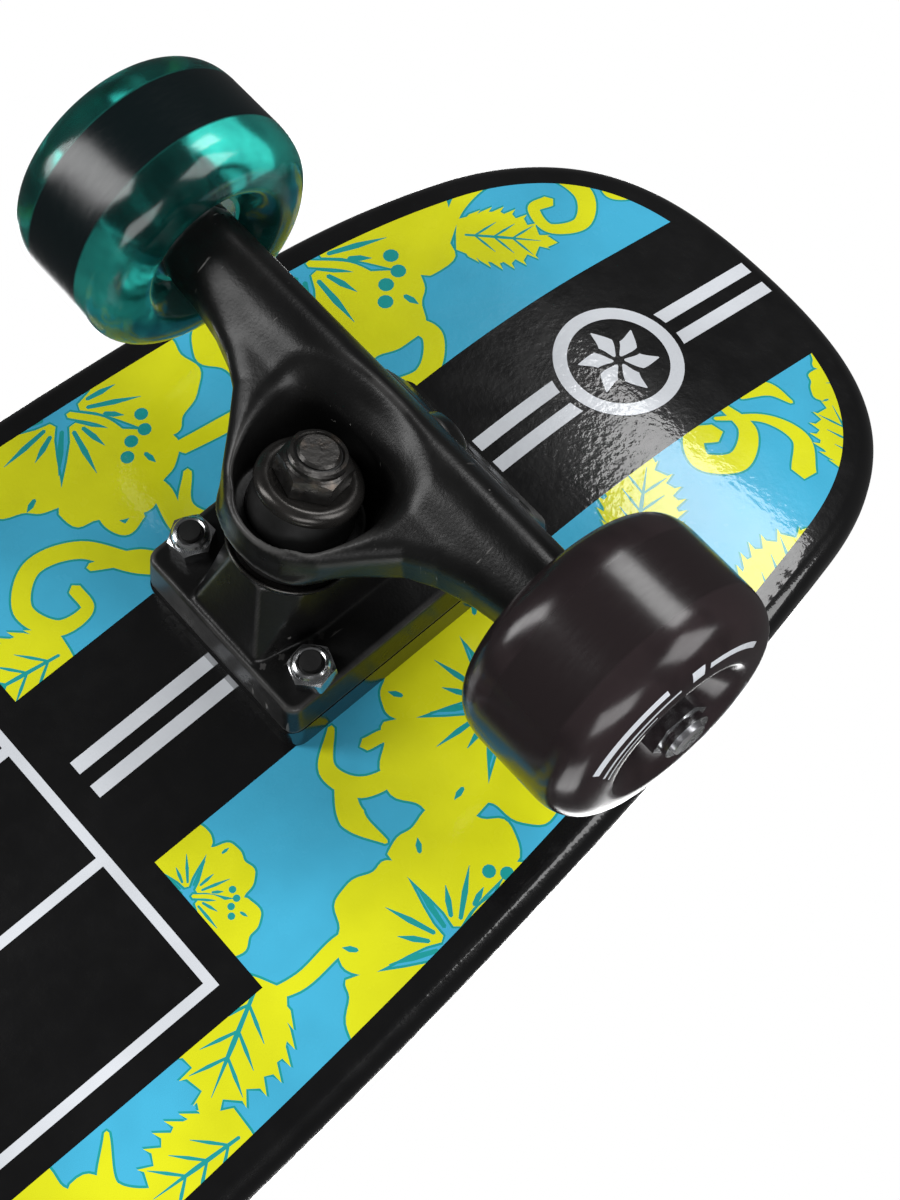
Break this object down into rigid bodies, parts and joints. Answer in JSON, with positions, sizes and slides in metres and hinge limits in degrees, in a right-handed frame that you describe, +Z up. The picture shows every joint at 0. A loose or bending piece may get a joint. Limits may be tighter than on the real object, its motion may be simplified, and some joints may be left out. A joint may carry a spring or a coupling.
{
  "type": "skateboard",
  "caption": "Cruiser skateboard with a kicked concave deck, riser pads, black traditional-kingpin trucks and translucent teal and smoke wheels.",
  "frame": {"origin": "on the ground, under the middle of the deck's length and width, with the board standing on its wheels", "axes": "+Z up through the standing side, +X towards the tail, +Y towards the smoke-coloured wheels"},
  "size_m": [0.71, 0.19, 0.1272],
  "materials": {
    "deck_lacquer": "lacquered maple laminate, black with printed cyan and yellow panels underneath",
    "grip": "coarse silicon carbide grit on an adhesive sheet",
    "riser_plastic": "glossy moulded plastic",
    "truck_paint": "satin black paint over cast aluminium, chipped on the edges",
    "bushing_urethane": "satin urethane",
    "black_steel": "black oxide with worn brown edges",
    "zinc_steel": "bright zinc plate",
    "bearing_steel": "ground steel",
    "bearing_black": "black rubber seal",
    "teal_urethane": "translucent gloss urethane",
    "smoke_urethane": "translucent gloss urethane"
  },
  "bodies": {
    "board": {"deck": "deck_lacquer", "grip_tape": "grip", "tail_riser_pad": "riser_plastic", "tail_baseplate": "truck_paint", "tail_pivot_cup": "bearing_black", "tail_kingpin": "black_steel", "tail_lower_cup_washer": "black_steel", "tail_lower_bushing": "bushing_urethane", "tail_upper_bushing": "bushing_urethane", "tail_upper_cup_washer": "black_steel", "tail_kingpin_nut": "black_steel", "tail_mounting_bolts": "black_steel", "tail_lock_nuts": "zinc_steel", "nose_riser_pad": "riser_plastic", "nose_baseplate": "truck_paint", "nose_pivot_cup": "bearing_black", "nose_kingpin": "black_steel", "nose_lower_cup_washer": "black_steel", "nose_lower_bushing": "bushing_urethane", "nose_upper_bushing": "bushing_urethane", "nose_upper_cup_washer": "black_steel", "nose_kingpin_nut": "black_steel", "nose_mounting_bolts": "black_steel", "nose_lock_nuts": "zinc_steel"},
    "tail_truck_hanger": {"tail_hanger": "truck_paint", "tail_axle": "zinc_steel", "tail_axle_nuts": "zinc_steel", "tail_speed_washers": "zinc_steel", "tail_left_inner_races": "bearing_steel", "tail_left_spacer": "bearing_steel", "tail_right_inner_races": "bearing_steel", "tail_right_spacer": "bearing_steel"},
    "tail_left_wheel_set": {"tail_left_wheel": "teal_urethane", "tail_left_outer_races": "bearing_steel", "tail_left_balls": "bearing_steel", "tail_left_cages": "bearing_black", "tail_left_shields": "bearing_black"},
    "tail_right_wheel_set": {"tail_right_wheel": "smoke_urethane", "tail_right_outer_races": "bearing_steel", "tail_right_balls": "bearing_steel", "tail_right_cages": "bearing_black", "tail_right_shields": "bearing_black"},
    "nose_truck_hanger": {"nose_hanger": "truck_paint", "nose_axle": "zinc_steel", "nose_axle_nuts": "zinc_steel", "nose_speed_washers": "zinc_steel", "nose_left_inner_races": "bearing_steel", "nose_left_spacer": "bearing_steel", "nose_right_inner_races": "bearing_steel", "nose_right_spacer": "bearing_steel"},
    "nose_left_wheel_set": {"nose_left_wheel": "teal_urethane", "nose_left_outer_races": "bearing_steel", "nose_left_balls": "bearing_steel", "nose_left_cages": "bearing_black", "nose_left_shields": "bearing_black"},
    "nose_right_wheel_set": {"nose_right_wheel": "smoke_urethane", "nose_right_outer_races": "bearing_steel", "nose_right_balls": "bearing_steel", "nose_right_cages": "bearing_black", "nose_right_shields": "bearing_black"}
  },
  "joints": [
    {"name": "tail_steering", "type": "hinge", "parent": "board", "child": "tail_truck_hanger", "pos_m": [0.20922, 0, 0.0421], "axis": [0.9297, 0, 0.3684], "range_deg": [-15, 15], "stiffness_Nm_per_rad": 40, "deforming": ["tail_lower_bushing", "tail_upper_bushing"]},
    {"name": "nose_steering", "type": "hinge", "parent": "board", "child": "nose_truck_hanger", "pos_m": [-0.18422, 0, 0.0421], "axis": [-0.9297, 0, 0.3684], "range_deg": [-15, 15], "stiffness_Nm_per_rad": 40, "deforming": ["nose_lower_bushing", "nose_upper_bushing"]},
    {"name": "tail_left_wheel_spin", "type": "hinge", "parent": "tail_truck_hanger", "child": "tail_left_wheel_set", "pos_m": [0.2328, -0.073, 0.03], "axis": [0, 1, 0], "continuous": true},
    {"name": "tail_right_wheel_spin", "type": "hinge", "parent": "tail_truck_hanger", "child": "tail_right_wheel_set", "pos_m": [0.2328, 0.073, 0.03], "axis": [0, 1, 0], "continuous": true},
    {"name": "nose_left_wheel_spin", "type": "hinge", "parent": "nose_truck_hanger", "child": "nose_left_wheel_set", "pos_m": [-0.2078, -0.073, 0.03], "axis": [0, 1, 0], "continuous": true},
    {"name": "nose_right_wheel_spin", "type": "hinge", "parent": "nose_truck_hanger", "child": "nose_right_wheel_set", "pos_m": [-0.2078, 0.073, 0.03], "axis": [0, 1, 0], "continuous": true}
  ]
}
